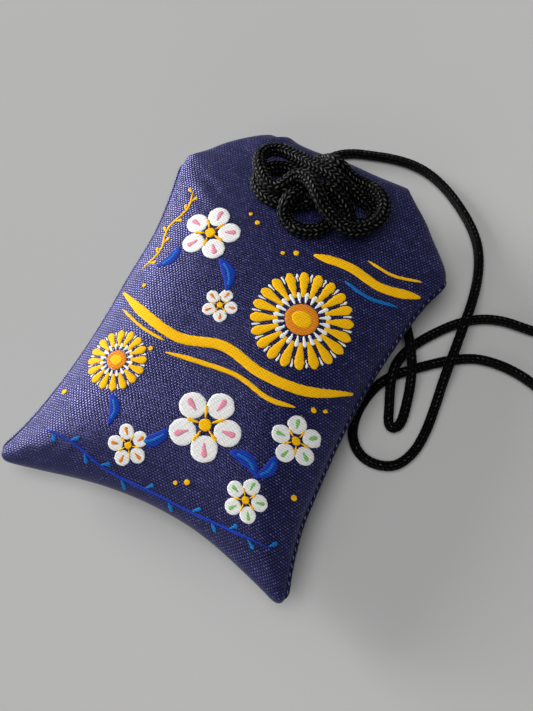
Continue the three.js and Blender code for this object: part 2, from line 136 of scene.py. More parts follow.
def closed_grids(front, back):
    """Points and quads of two grids that share the first one's rim."""
    rows, columns = front.shape[:2]
    count = rows * columns
    index = np.arange(count).reshape(rows, columns)
    behind = index.copy()
    behind[1:-1, 1:-1] = count + np.arange((rows - 2) * (columns - 2)).reshape(rows - 2, columns - 2)
    points = np.vstack([front.reshape(-1, 3), back[1:-1, 1:-1].reshape(-1, 3)])
    return points, np.vstack([grid_quads(index), grid_quads(behind)[:, TURNED_OVER]])


# Settled cloth: how a coarse front puckers, as waves across and along it
SETTLE_COLUMNS, SETTLE_ROWS, SETTLE_FRAMES = 72, 96, 40
SETTLE_SCALE = 0.1
SETTLE_STIFFNESS, SETTLE_BENDING, SETTLE_SLACK, SETTLE_PRESSURE = 80.0, 0.5, 0.006, 0.4
SETTLE_QUALITY, SETTLE_MASS = 6, 0.3
BROAD_PASSES = 60
PUCKER_LIMIT = 0.28
WAVES_ACROSS, WAVES_ALONG = np.arange(1, 33), np.arange(1, 45)
pucker_waves = np.zeros((len(WAVES_ALONG), len(WAVES_ACROSS)))


# Bag form
def half_width(y):
    below = y < WAIST_Y
    span = np.where(below, WAIST_Y, SHOULDER_Y - WAIST_Y)
    end_width = np.where(below, FOOT_WIDTH, SHOULDER_WIDTH)
    side = (WAIST_WIDTH + (end_width - WAIST_WIDTH) * ((y - WAIST_Y) / span) ** 2) / 2
    slant = (SHOULDER_WIDTH - TOP_WIDTH) / 2 / (BAG_HEIGHT - SHOULDER_Y)
    shoulder = TOP_WIDTH / 2 + slant * (BAG_HEIGHT - y)
    near = np.maximum(1 - np.abs(side - shoulder) / SHOULDER_ROUNDING, 0)
    return np.minimum(side, shoulder) - near ** 2 * SHOULDER_ROUNDING / 4


def foot_edge(u):
    return FOOT_RISE * (0.5 + 0.5 * np.cos(math.pi * u))


def crown_across(u):
    inner, outer = CROWN_SIDE_POWERS
    return (1 - np.minimum(np.abs(u), 1) ** inner) ** outer


def crown_along(v):
    y = v * BAG_HEIGHT
    inner, outer = CROWN_FOOT_POWERS
    foot = (1 - np.maximum(1 - y / CROWN_FOOT_REACH, 0) ** inner) ** outer
    fall = np.clip((y - CROWN_FALL_START) / (BAG_HEIGHT - CROWN_FALL_START), 0, 1)
    top = CROWN_TOP_SHARE + (1 - CROWN_TOP_SHARE) * (0.5 + 0.5 * np.cos(math.pi * fall))
    nose = np.clip((y - BAG_HEIGHT + TOP_NOSE) / TOP_NOSE, 0, 1)
    return foot * top * np.sqrt(1 - nose ** 2)


def rolled_edge(u, v):
    """Share of the rounding over the rim, nought at the sides, the foot and the top."""
    side = np.sqrt(np.maximum(1 - np.abs(u) ** SIDE_ROLL_POWER, 0))
    foot = np.sqrt(np.maximum(1 - (1 - v) ** END_ROLL_POWER, 0))
    top = np.sqrt(np.maximum(1 - v ** END_ROLL_POWER, 0))
    return side * foot * top


def humps(value, rows):
    """The sum of some smooth humps."""
    return sum(height * np.exp(-((value - middle) / reach) ** 2) for height, middle, reach in rows)


def past(value, start, reach):
    """A soft step, from nought to one about the start."""
    return 1 / (1 + np.exp((start - value) / reach))


def ripples(x, u, v):
    """Slack in the cloth: the puckers of the settled cloth, and the gathers at the drawn top."""
    across = np.sin(math.pi / 2 * (u[..., None] + 1) * WAVES_ACROSS)
    along = np.sin(math.pi * v[..., None] * WAVES_ALONG)
    settled = ((along @ pucker_waves) * across).sum(-1)
    settled *= 1 - SMOOTH_SHARE * past(v * BAG_HEIGHT, SMOOTH_START, SMOOTH_REACH)
    near_top = np.exp(-((1 - v) * BAG_HEIGHT / GATHER_REACH) ** 2)
    gather = GATHER_HEIGHT * near_top * np.sin(2 * math.pi * (x - KNOT_X) / GATHER_PITCH + GATHER_PHASE)
    return settled + gather * (1 - v ** GATHER_END_POWER)


def outline_shift(u, v):
    """How the sewn cloth strays from the even outline: across and along, in millimetres."""
    y = v * BAG_HEIGHT
    side = u * np.abs(u)
    left = np.minimum(side, 0)
    right = np.maximum(side, 0)
    left_edge = left * np.abs(u) ** SHOULDER_EDGE_POWER
    drawn_in = LEFT_IN * past(y, LEFT_IN_START, LEFT_IN_REACH)
    let_go = drawn_in * past(y, LEFT_SHOULDER, LEFT_STEP_REACH) + humps(y, LEFT_SHOULDER_HUMPS)
    let_go -= LEFT_TOP_IN * past(y, LEFT_TOP_START, LEFT_STEP_REACH)
    x_shift = left_edge * let_go - left * drawn_in
    x_shift += left * humps(y, LEFT_HUMPS) + right * humps(y, RIGHT_HUMPS) + side * humps(y, BOTH_HUMPS)
    foot_shift = humps(u, FOOT_HUMPS) + humps(np.abs(u), FOOT_TIP_HUMPS)
    top_shift = humps(u * TOP_WIDTH / 2, TOP_HUMPS)
    y_shift = foot_shift * (1 - v) ** FOOT_FADE_POWER + top_shift * v ** TOP_FADE_POWER
    from_tip = y + (1 - np.abs(u)) * FOOT_WIDTH / 2
    round_off = TIP_ROUNDING * np.maximum(1 - from_tip / TIP_REACH, 0) ** TIP_POWER
    return x_shift - np.sign(u) * TIP_ACROSS * round_off, y_shift + TIP_ALONG * round_off


def bag_point(u, v, front):
    foot = foot_edge(u)
    x_shift, y_shift = outline_shift(u, v)
    y = foot + (BAG_HEIGHT - foot) * v + y_shift
    x = u * half_width(v * BAG_HEIGHT) + x_shift
    crown = (FRONT_CROWN if front else BACK_CROWN) * crown_across(u) * crown_along(v)
    if front:
        depth = crown + ripples(x, u, v) * np.sqrt(np.minimum(crown / SLACK_DEPTH, 1))
        height = EDGE_ROLL * rolled_edge(u, v) + np.maximum(depth, 0)
        return np.stack([x, y, RIM_HEIGHT + height], -1)
    depth = np.minimum(crown, BACK_FLAT)
    return np.stack([x, y, RIM_HEIGHT - EDGE_ROLL * rolled_edge(u, v) - depth], -1)


# How closely a point of the plan is found again on the cloth
SHARE_PASSES, ALONG_MARGIN, ACROSS_LIMIT = 10, 0.001, 0.995
SLOPE_STEP = 0.002


def shares(x, y):
    """Shares u across and v along of a point of the plan."""
    u = np.zeros_like(x)
    v = np.zeros_like(x)
    for _ in range(SHARE_PASSES):
        v = np.clip((y - foot_edge(u)) / (BAG_HEIGHT - foot_edge(u)), ALONG_MARGIN, 1 - ALONG_MARGIN)
        u = np.clip(x / half_width(v * BAG_HEIGHT), -ACROSS_LIMIT, ACROSS_LIMIT)
    return u, v


def on_front(x, y, lift):
    """Points at a height above the front cloth, measured square to it."""
    u, v = shares(x, y)
    base = bag_point(u, v, True)
    across = bag_point(u + SLOPE_STEP, v, True) - bag_point(u - SLOPE_STEP, v, True)
    along = bag_point(u, v + SLOPE_STEP, True) - bag_point(u, v - SLOPE_STEP, True)
    normal = np.cross(across, along)
    normal /= np.linalg.norm(normal, axis=-1, keepdims=True)
    return base + normal * lift[..., None]


def front_height(x, y):
    u, v = shares(np.array([float(x)]), np.array([float(y)]))
    return float(bag_point(u, v, True)[0, 2])


# Curves
def smooth_route(points, per_span=14):
    """Centripetal Catmull-Rom curve through the points."""
    p = np.asarray(points, float)
    p = np.vstack([2 * p[0] - p[1], p, 2 * p[-1] - p[-2]])
    t = np.linspace(0, 1, per_span, endpoint=False)[:, None]
    spans = []
    for a, b, c, d in zip(p, p[1:], p[2:], p[3:]):
        ab, bc, cd = (np.linalg.norm(q - r) ** 0.5 for q, r in ((a, b), (b, c), (c, d)))
        leave = ((b - a) / ab - (c - a) / (ab + bc) + (c - b) / bc) * bc
        reach = ((c - b) / bc - (d - b) / (bc + cd) + (d - c) / cd) * bc
        bend = -3 * b + 3 * c - 2 * leave - reach
        twist = 2 * b - 2 * c + leave + reach
        spans.append(b + leave * t + bend * t ** 2 + twist * t ** 3)
    return np.vstack(spans + [p[-2:-1]])


def evenly(route, step):
    """The same route with points an even step apart."""
    along = np.concatenate([[0], np.cumsum(np.linalg.norm(np.diff(route, axis=0), axis=1))])
    stations = np.linspace(0, along[-1], int(round(along[-1] / step)) + 1)
    return np.stack([np.interp(stations, along, route[:, k]) for k in range(3)], -1), stations


def relaxed(route, passes):
    """The same route with its sharpest turns eased, both ends kept."""
    for _ in range(passes):
        route[1:-1] = (route[:-2] + 2 * route[1:-1] + route[2:]) / 4
    return route


def carried_sides(route):
    """A direction square to the route at each point, carried along it without twist."""
    ahead = np.gradient(route, axis=0)
    ahead /= np.linalg.norm(ahead, axis=1, keepdims=True)
    side = np.cross(ahead[0], TUBE_START_SIDE)
    sides = []
    for direction in ahead:
        side = side - direction * side.dot(direction)
        side = side / np.linalg.norm(side)
        sides.append(side)
    return np.array(sides), np.cross(ahead, np.array(sides))


def tube(route, radius):
    """Points and faces of a closed tube, with a row of radii for each point of its route."""
    side, over = carried_sides(route)
    around = radius.shape[1]
    turn = 2 * math.pi * np.arange(around) / around
    ring = np.cos(turn)[:, None] * side[:, None] + np.sin(turn)[:, None] * over[:, None]
    points = route[:, None] + radius[..., None] * ring
    rings = np.arange(len(route) * around).reshape(-1, around)
    following = np.roll(rings, -1, axis=1)
    quads = np.stack([rings[:-1], following[:-1], following[1:], rings[1:]], -1).reshape(-1, 4)
    return points.reshape(-1, 3), quads.tolist() + [rings[0, ::-1].tolist(), rings[-1].tolist()]


def braid(name, route, material, body, diameter, step, around, stitch, relief, easing=0):
    """Braided cord: a tube whose face stands out in slanted stitches, column by column."""
    route, along = evenly(route, step)
    route = relaxed(route, easing)
    column = np.arange(around) * BRAID_COLUMNS / around
    number = np.floor(column)
    across = column - number - 0.5
    slant = np.where(number % 2, BRAID_SLANT, -BRAID_SLANT)
    rank = along[:, None] / stitch + slant * across + 0.5 * (number // 2 % 2)
    within = rank - np.floor(rank) - 0.5
    lift = np.sqrt(1 - BRAID_ROUNDNESS * across ** 2) * (1 - np.abs(2 * within) ** BRAID_END_POWER)
    points, faces = tube(route, diameter / 2 + relief * (lift - BRAID_MEAN))
    piece = mesh_piece(name, points, faces, material, body)
    shade = np.stack([lift, np.floor(rank) + BRAID_COLUMN_SEED * number, 0 * lift + along[:, None]], -1)
    point_values(piece, "stitch", shade.reshape(-1, 3))
    return piece, route


# Materials
class Graph:
    """A node material, with short calls to add nodes and wire them."""

    def __init__(self, name, **sockets):
        self.material = bpy.data.materials.new(name)
        self.material.use_nodes = True
        self.tree = self.material.node_tree
        self.shader = self.tree.nodes["Principled BSDF"]
        for socket, value in sockets.items():
            self.shader.inputs[socket.replace("_", " ")].default_value = value

    def feed(self, socket, value):
        if isinstance(value, bpy.types.NodeSocket):
            self.tree.links.new(value, socket)
        else:
            socket.default_value = value

    def set(self, socket, value):
        self.feed(self.shader.inputs[socket], value)

    def node(self, kind, inputs=(), **settings):
        made = self.tree.nodes.new(kind)
        for key, value in settings.items():
            setattr(made, key, value)
        for key, value in dict(inputs).items():
            self.feed(made.inputs[key], value)
        return made

    def math(self, operation, *values):
        return self.node("ShaderNodeMath", enumerate(values), operation=operation).outputs[0]

    def mix(self, factor, low, high):
        made = self.node("ShaderNodeMix", {0: factor, 6: low, 7: high}, data_type="RGBA")
        return made.outputs[2]

    def ramp(self, value, low, high, start=0.0, end=1.0):
        limits = {"From Min": low, "From Max": high, "To Min": start, "To Max": end}
        made = self.node("ShaderNodeMapRange", limits, clamp=True)
        self.feed(made.inputs["Value"], value)
        return made.outputs[0]

    def attribute(self, name):
        return self.node("ShaderNodeAttribute", attribute_name=name).outputs["Vector"]

    def spot(self):
        return self.node("ShaderNodeTexCoord").outputs["Object"]

    def parts(self, vector):
        return self.node("ShaderNodeSeparateXYZ", {0: vector}).outputs

    def noise(self, vector, scale, detail=2.0, stretch=(1.0, 1.0, 1.0)):
        scaled = self.node("ShaderNodeVectorMath", {0: vector, 1: stretch}, operation="MULTIPLY").outputs[0]
        made = self.node("ShaderNodeTexNoise", {"Vector": scaled, "Scale": scale, "Detail": detail})
        return made.outputs[0]

    def bump(self, height, distance, strength=1.0):
        made = self.node("ShaderNodeBump", {"Height": height, "Distance": distance, "Strength": strength})
        self.set("Normal", made.outputs[0])


# Weave of the cloth and of the raised design
WEAVE_ROW, WEAVE_FLOAT, WEAVE_SWAY = 0.38, 0.55, 0.35
RIB_PITCH, RIB_STEP, RIB_SLOPE = 0.36, 0.8, 1.7

# The tones that each finish is mixed from
# Cloth: near-black painted shade in the gaps between floats, the floats' own navy, and a painted highlight
# for a few float tops.
CLOTH_AND_PAINTED_LIGHT_TONES = ((0.0006, 0.0006, 0.003, 1.0), (0.056, 0.062, 0.225, 1.0), (0.095, 0.105, 0.270, 1.0))
# Right seam roll: a darker copy of the cloth tones, painted shade along that seam, with a dimmer painted
# highlight.
SHADED_EDGING_TONES = ((0.0008, 0.0008, 0.003, 1.0), (0.008, 0.008, 0.030, 1.0), (0.030, 0.030, 0.070, 1.0))
CLOTH_GLOSS = (0.31, 0.29, 0.78, 1.0)
# Cord: black, and the grey of the painted highlights on the stitch crests.
CORD_AND_PAINTED_HIGHLIGHT_TONES = ((0.0010, 0.0010, 0.0011, 1.0), (0.135, 0.135, 0.128, 1.0))
THREAD_TONES = ((0.030, 0.033, 0.100, 1.0), (0.110, 0.120, 0.250, 1.0))
COTTON_TONES = ((0.70, 0.68, 0.62, 1.0), (0.88, 0.87, 0.83, 1.0))
TIMBER_TONES = ((0.66, 0.45, 0.24, 1.0), (0.50, 0.30, 0.14, 1.0))
PAPER_TONES = ((0.84, 0.81, 0.72, 1.0), (0.90, 0.88, 0.82, 1.0))
FLOOR_TONES = ((0.39, 0.39, 0.385, 1.0), (0.43, 0.43, 0.425, 1.0))

# Colours of the woven design, each the bright of the threads and a painted shade for the grooves between them
SATIN_COLOURS = {
    "gold": ((0.97, 0.54, 0.006), (0.78, 0.39, 0.004)),
    "white": ((0.87, 0.87, 0.84), (0.64, 0.64, 0.64)),
    "royal": ((0.020, 0.060, 0.46), (0.006, 0.015, 0.17)),
    "cyan": ((0.010, 0.20, 0.56), (0.004, 0.07, 0.26)),
    "pink": ((0.85, 0.36, 0.46), (0.55, 0.18, 0.25)),
    "green": ((0.30, 0.62, 0.20), (0.14, 0.34, 0.08)),
    "orange": ((0.86, 0.30, 0.02), (0.50, 0.14, 0.01)),
}


def brocade_material(name, shaded_ground, thread, painted_glint):
    """Navy weave: rows of short glossy floats, the gaps between them darkened with painted shade, each row
    half a float aside of the last; a few float tops carry a painted highlight.
    """
    g = Graph(name, IOR=2.0, Specular_IOR_Level=0.54, Specular_Tint=CLOTH_GLOSS)
    place_on = g.attribute("cloth")
    s, t, _ = g.parts(place_on)
    sway = g.math("MULTIPLY", g.noise(place_on, 0.35, 1.0), WEAVE_SWAY)
    across = g.math("DIVIDE", g.math("ADD", t, sway), WEAVE_ROW)
    row = g.math("FLOOR", across)
    floats = g.math("DIVIDE", g.math("ADD", s, sway), WEAVE_FLOAT)
    along = g.math("ADD", floats, g.math("MULTIPLY", row, 0.5))
    ridge = g.math("ABSOLUTE", g.math("SINE", g.math("MULTIPLY", across, math.pi)))
    dash = g.math("POWER", g.math("ABSOLUTE", g.math("SINE", g.math("MULTIPLY", along, math.pi))), 0.7)
    height = g.math("MULTIPLY", ridge, dash)
    cell = g.node("ShaderNodeCombineXYZ", {0: g.math("FLOOR", along), 1: row}).outputs[0]
    chance = g.node("ShaderNodeTexWhiteNoise", {"Vector": cell}, noise_dimensions="2D").outputs["Value"]
    slub = g.noise(place_on, 0.55, 2.0, (0.16, 2.2, 1.0))
    tone = g.math("MULTIPLY", g.ramp(chance, 0.0, 1.0, 0.50, 1.0), g.ramp(slub, 0.3, 0.7, 0.6, 1.15))
    # Painted shade: the colour falls to the darkest tone in the gaps between floats, by their height; each
    # float's own tone varies at random.
    painted_float_light_and_tone = g.math("MULTIPLY", g.ramp(height, 0.38, 0.85), tone)
    # Painted highlights: a brighter tone on the tops of a few floats picked at random.
    painted_spark = g.math("MULTIPLY", g.ramp(chance, 0.80, 1.0), g.ramp(height, 0.55, 0.95))
    g.set("Base Color", g.mix(painted_spark, g.mix(painted_float_light_and_tone, shaded_ground, thread), painted_glint))
    g.set("Roughness", g.ramp(painted_float_light_and_tone, 0.0, 0.9, 0.40, 0.16))
    g.bump(height, 0.075 * MM, 1.0)
    return g.material


def satin_material(name, colour, shade):
    """Raised satin weave: close ribs across the bag in one bright colour, with painted shade in the grooves
    between the ribs.
    """
    g = Graph(name, Specular_IOR_Level=0.12)
    place_on = g.attribute("cloth")
    x, y, _ = g.parts(place_on)
    rib = g.math("SINE", g.math("MULTIPLY", y, 2 * math.pi / RIB_PITCH))
    slope = g.math("ADD", x, g.math("MULTIPLY", y, RIB_SLOPE))
    step = g.math("SINE", g.math("MULTIPLY", slope, 2 * math.pi / RIB_STEP))
    slub = g.noise(place_on, 0.9, 2.0, (0.3, 2.6, 1.0))
    height = g.math("ADD", rib, g.math("MULTIPLY", step, 0.25))
    # Painted shade: the colour falls to its shade tone down in each rib groove; the slub adds random tone.
    light = g.math("MULTIPLY", g.ramp(height, -1.2, 0.7), g.ramp(slub, 0.3, 0.7, 0.75, 1.0))
    g.set("Base Color", g.mix(light, (*shade, 1.0), (*colour, 1.0)))
    g.set("Roughness", g.ramp(height, -1.0, 1.0, 0.62, 0.45))
    g.bump(height, 0.05 * MM, 0.8)
    return g.material


def cord_material():
    """Black braided cord, with painted highlights on the crests of some stitches."""
    g = Graph("black_braid", Specular_IOR_Level=0.14)
    lift, rank, _ = g.parts(g.attribute("stitch"))
    seed = g.node("ShaderNodeTexWhiteNoise", {"W": rank}, noise_dimensions="1D").outputs["Value"]
    fibre = g.noise(g.attribute("stitch"), 6.0, 2.0, (3.0, 0.0, 1.0))
    # Painted highlights: light grey on the stitch crests, brighter on some stitches picked at random.
    light = g.math("MULTIPLY", g.ramp(lift, 0.80, 0.99), g.ramp(seed, 0.25, 1.0, 0.10, 1.0))
    g.set("Base Color", g.mix(light, *CORD_AND_PAINTED_HIGHLIGHT_TONES))
    g.set("Roughness", g.ramp(lift, 0.3, 1.0, 0.85, 0.38))
    g.bump(fibre, 0.03 * MM, 0.5)
    return g.material


def thread_material():
    """Sewing thread of the seams, a little lighter than the cloth."""
    g = Graph("seam_sewing_thread", Specular_IOR_Level=0.4, Sheen_Weight=0.2)
    fibre = g.noise(g.spot(), 2500.0, 3.0)
    g.set("Base Color", g.mix(g.ramp(fibre, 0.35, 0.65), *THREAD_TONES))
    g.set("Roughness", g.ramp(fibre, 0.3, 0.7, 0.45, 0.65))
    g.bump(fibre, 0.05 * MM, 0.6)
    return g.material


def wadding_material():
    """Loose white cotton."""
    g = Graph("cotton_wadding", Roughness=1.0, Sheen_Weight=0.4)
    fluff = g.noise(g.spot(), 420.0, 6.0)
    g.set("Base Color", g.mix(g.ramp(fluff, 0.3, 0.7), *COTTON_TONES))
    g.bump(fluff, 0.5 * MM, 0.8)
    return g.material


def timber_material():
    """Pale straight-grained cypress."""
    g = Graph("cypress_slip", Specular_IOR_Level=0.35)
    grain = g.noise(g.spot(), 260.0, 4.0, (4.0, 0.12, 4.0))
    g.set("Base Color", g.mix(g.ramp(grain, 0.35, 0.68), *TIMBER_TONES))
    g.set("Roughness", g.ramp(grain, 0.3, 0.7, 0.5, 0.68))
    g.bump(grain, 0.05 * MM, 0.5)
    return g.material


def paper_material():
    """Handmade white paper with faint fibres."""
    g = Graph("fibrous_paper", Roughness=0.9)
    fibre = g.noise(g.spot(), 900.0, 5.0, (1.0, 0.25, 1.0))
    g.set("Base Color", g.mix(g.ramp(fibre, 0.4, 0.7), *PAPER_TONES))
    g.bump(fibre, 0.04 * MM, 0.6)
    return g.material


# Bag: front and back of one closed cloth, joined round the rim
BAG_COLUMNS, BAG_ROWS, CROWDING = 150, 210, 0.45


def settle():
    """Lets a slack coarse front fill out with its rim held, and keeps only its puckers."""
    u, v = np.meshgrid(np.linspace(-1, 1, SETTLE_COLUMNS + 1), np.linspace(0, 1, SETTLE_ROWS + 1))
    start = bag_point(u, v, True)
    index = np.arange(u.size).reshape(u.shape)
    mesh = bpy.data.meshes.new("settling")
    mesh.from_pydata((SETTLE_SCALE * start.reshape(-1, 3)).tolist(), [], grid_quads(index).tolist())
    holder = bpy.data.objects.new("settling", mesh)
    scene = bpy.context.scene
    scene.collection.objects.link(holder)
    edge = np.unique(np.concatenate([index[0], index[-1], index[:, 0], index[:, -1]]))
    holder.vertex_groups.new(name="rim").add(edge.tolist(), 1.0, "REPLACE")
    cloth = holder.modifiers.new("cloth", "CLOTH")
    cloth.point_cache.frame_end = SETTLE_FRAMES
    feel = cloth.settings
    feel.quality = SETTLE_QUALITY
    feel.mass = SETTLE_MASS
    feel.tension_stiffness = SETTLE_STIFFNESS
    feel.compression_stiffness = SETTLE_STIFFNESS
    feel.shear_stiffness = SETTLE_STIFFNESS / 3
    feel.bending_stiffness = SETTLE_BENDING
    feel.vertex_group_mass = "rim"
    feel.use_pressure = True
    feel.uniform_pressure_force = SETTLE_PRESSURE
    feel.shrink_min = -SETTLE_SLACK
    feel.effector_weights.gravity = 0.0
    for now in range(1, SETTLE_FRAMES + 1):
        scene.frame_set(now)
    settled = np.zeros(start.size, np.float32)
    shown = holder.evaluated_get(bpy.context.evaluated_depsgraph_get())
    shown.data.vertices.foreach_get("co", settled)
    scene.frame_set(1)
    bpy.data.objects.remove(holder)
    bpy.data.meshes.remove(mesh)
    rise = settled.reshape(start.shape)[..., 2] / SETTLE_SCALE - start[..., 2]
    broad = relaxed(relaxed(rise.copy(), BROAD_PASSES).T.copy(), BROAD_PASSES).T
    pucker = PUCKER_LIMIT * np.tanh((rise - broad) / PUCKER_LIMIT)
    across = np.sin(math.pi / 2 * (u[0][:, None] + 1) * WAVES_ACROSS)
    along = np.sin(math.pi * v[:, 0][:, None] * WAVES_ALONG)
    pucker_waves[:] = 4 / SETTLE_COLUMNS / SETTLE_ROWS * along.T @ pucker @ across


def crowded(count, low):
    """Shares from low to 1, a little closer together at both ends."""
    t = np.linspace(0, 1, count + 1)
    even = (1 - CROWDING) * t + CROWDING * (1 - np.cos(math.pi * t)) / 2
    return low + (1 - low) * even


def cloth_lengths(points):
    """Lengths along the cloth, from the middle column and from the foot."""
    across = np.linalg.norm(np.diff(points, axis=1), axis=-1)
    s = np.concatenate([np.zeros((len(points), 1)), np.cumsum(across, axis=1)], axis=1)
    s -= s[:, [points.shape[1] // 2]]
    middle = points[:, points.shape[1] // 2]
    t = np.concatenate([[0], np.cumsum(np.linalg.norm(np.diff(middle, axis=0), axis=-1))])
    return np.stack([s, np.repeat(t[:, None], points.shape[1], 1), 0 * s], -1)


def bag(material):
    u, v = np.meshgrid(crowded(BAG_COLUMNS, -1.0), crowded(BAG_ROWS, 0.0))
    front = bag_point(u, v, True)
    back = bag_point(u, v, False)
    points, quads = closed_grids(front, back)
    piece = mesh_piece("bag_cloth", points, quads.tolist(), material)
    front_lengths = cloth_lengths(front).reshape(-1, 3)
    back_lengths = cloth_lengths(back)[1:-1, 1:-1] * (1, -1, 1)
    point_values(piece, "cloth", np.vstack([front_lengths, back_lengths.reshape(-1, 3)]))
    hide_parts("brocade_bag")


# Side seams: a fine roll of cloth round the side, with a stitch over it every little way
SEAM_ROLL = 0.66
SEAM_START, SEAM_END, SEAM_POINTS, SEAM_SIDES = 1.2, 56.5, 200, 14
SEAM_OUT, SEAM_UP, SEAM_WAVER, SEAM_TAPER = 0.02, 0.22, 0.02, 1.2
STITCH_SPACING = 1.2
STITCH_LENGTH, STITCH_THICKNESS, STITCH_SLANT = 0.55, 0.20, 0.45
STITCH_GAP, STITCH_BOW, STITCH_POINTS, STITCH_SIDES = 0.02, 0.05, 9, 8


def even_tube(route, radii, sides):
    return tube(route, np.repeat(radii[:, None], sides, axis=1))


def joined(parts):
    """Points and faces of several parts as one."""
    points, faces, count = [], [], 0
    for some_points, some_faces in parts:
        points.append(some_points)
        faces += [[count + k for k in face] for face in some_faces]
        count += len(some_points)
    return np.vstack(points), faces


def side_seam(side, name, node, shaded_edging, thread):
    v = np.linspace(SEAM_START, SEAM_END, SEAM_POINTS) / BAG_HEIGHT
    rim = bag_point(np.full_like(v, float(side)), v, True)
    y = rim[:, 1]
    route = rim + (side * SEAM_OUT, 0, SEAM_UP)
    waver = SEAM_WAVER * np.sin(2 * math.pi * y / STITCH_SPACING)
    taper = np.sqrt(np.clip(np.minimum(y - y[0], y[-1] - y) / SEAM_TAPER, 0.02, 1))
    rolled = even_tube(route, (SEAM_ROLL / 2 + waver) * taper, SEAM_SIDES)
    roll = mesh_piece(name + "_roll", *rolled, shaded_edging)
    point_values(roll, "cloth", np.repeat(np.stack([0 * y, y, 0 * y], -1), SEAM_SIDES, axis=0))
    t = np.linspace(-0.5, 0.5, STITCH_POINTS)
    thickness = STITCH_THICKNESS / 2 * np.sqrt(1.02 - 4 * t ** 2)
    stitches = []
    for centre in np.arange(y[0] + 1, y[-1] - 0.5, STITCH_SPACING):
        along = centre + t * STITCH_LENGTH
        outward = np.interp(along, y, route[:, 0]) - side * STITCH_SLANT * t * STITCH_LENGTH
        bow = route[0, 2] + SEAM_ROLL / 2 + STITCH_GAP + STITCH_BOW * (1 - 4 * t ** 2)
        stitches.append(even_tube(np.stack([outward, along, bow], -1), thickness, STITCH_SIDES))
    sewing = mesh_piece(name + "_stitches", *joined(stitches), thread)
    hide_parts(node)


# Woven design: raised patches that follow the front cloth
PATCH_ROWS, PATCH_COLUMNS = 22, 9
SATIN_LIFT, SATIN_SINK, SATIN_DEPTH = 0.17, 0.05, 0.10
VEIN_HALF, VEIN_RISE, LEAF_BEND = 0.24, 0.06, 0.18
PETAL_FOOT, PETAL_BLUNT = 0.30, 0.72
BAND_TAPER, BAND_TIP, BAND_POWER = 7, 0.15, 0.6
SPRIG_LEAN, SPRIG_LEAF_FOOT, SPRIG_LEAF_WIDTH = 0.75, 0.3, 0.42
EDGE_STEP = 0.16
HASH_TURN, HASH_SCALE = 12.9898, 43758.5
designs = {}

# Its flowers and leaves by centre, size and turn, and its bands and sprigs by the points they pass
CHRYSANTHEMUMS = (((8.6, 38.6), 8.0, 20, 0.1), ((-14.4, 20.4), 5.0, 16, 0.0))
PLUMS = (
    ((-11.8, 45.6), 5.2, 0.4, "pink"), ((3.2, 17.4), 5.8, 0.1, "pink"),
    ((16.2, 21.6), 3.9, 0.7, "green"), ((-3.8, 35.0), 2.9, 0.2, "orange"),
    ((-6.2, 9.6), 3.3, 0.9, "orange"), ((13.6, 10.2), 3.5, 0.3, "green"),
)
LEAVES = (
    ((-8.0, 42.0), -0.9, 6.6, 2.2), ((-15.5, 41.6), -1.9, 5.2, 1.9), ((8.2, 15.4), -0.3, 6.0, 2.2),
    ((-1.6, 14.6), -2.4, 5.6, 2.0), ((14.6, 18.2), -1.9, 4.8, 1.9), ((-12.4, 15.4), -1.2, 5.0, 1.9),
)
BANDS = (
    ("gold", 1.7, ((-20.6, 31.2), (-14, 28.8), (-7, 27.6), (0, 29.4), (7, 28.2), (14, 28.9), (20.8, 32.6))),
    ("gold", 0.8, ((-8, 24.6), (-2, 25.6), (4, 26.2), (10, 25.2), (14, 26))),
    ("gold", 0.5, ((-18.6, 28.4), (-13, 26.6), (-8.8, 26.2))),
    ("gold", 1.6, ((23.2, 51.6), (17, 49.6), (11, 50.2), (5, 49.4))),
    ("gold", 0.5, ((22.0, 53.9), (17.5, 52.4), (13, 52.7))),
    ("cyan", 0.6, ((20.6, 48.2), (16, 47), (11.5, 47.6))),
)
SIDE_SPRIG = ((-19.4, 35.6), (-18.4, 39.6), (-19.8, 44.0), (-18.4, 48.4), (-19.4, 52.0))
FOOT_SPRIG = ((-20.4, 6.6), (-14, 6.2), (-8, 4.9), (0, 5.0), (8, 4.8), (14, 5.2), (20.6, 6.2))
DOTS = (
    (2.6, 48.4, 0.45), (0.8, 47.4, 0.34), (-17.0, 33.2, 0.34), (16.4, 27.0, 0.42), (18.0, 27.8, 0.32),
    (-10.2, 24.2, 0.38), (-20.2, 12.8, 0.45), (19.8, 14.2, 0.45), (4.4, 8.6, 0.45), (2.8, 7.8, 0.34),
    (-5.6, 50.6, 0.42), (-7.4, 51.6, 0.32),
)


def jagged(x, y):
    """Steps in a patch's edge, one for each woven row."""
    row = np.floor(y / RIB_PITCH)
    return x + EDGE_STEP * (np.mod(np.abs(np.sin(row * HASH_TURN) * HASH_SCALE), 1) - 0.5)


def patch(colour, spine, half, lift=SATIN_LIFT):
    """A patch along a spine, as wide on each side as half says."""
    rows = len(spine)
    heading = np.gradient(spine, axis=0)
    heading /= np.maximum(np.linalg.norm(heading, axis=1, keepdims=True), 1e-9)
    square = np.stack([-heading[:, 1], heading[:, 0]], -1)
    t = np.sin(np.linspace(-math.pi / 2, math.pi / 2, PATCH_COLUMNS))
    plan = spine[:, None] + square[:, None] * (half[:, None] * t)[..., None]
    s = np.linspace(-1, 1, rows)[:, None]
    swell = np.sqrt((1 - s ** 8) * (1 - t ** 4))
    designs.setdefault(colour, []).append((plan, lift * swell - SATIN_SINK))


def rounded():
    """Shares along a patch, closer together at both ends."""
    return (1 - np.cos(np.linspace(0, math.pi, PATCH_ROWS))) / 2


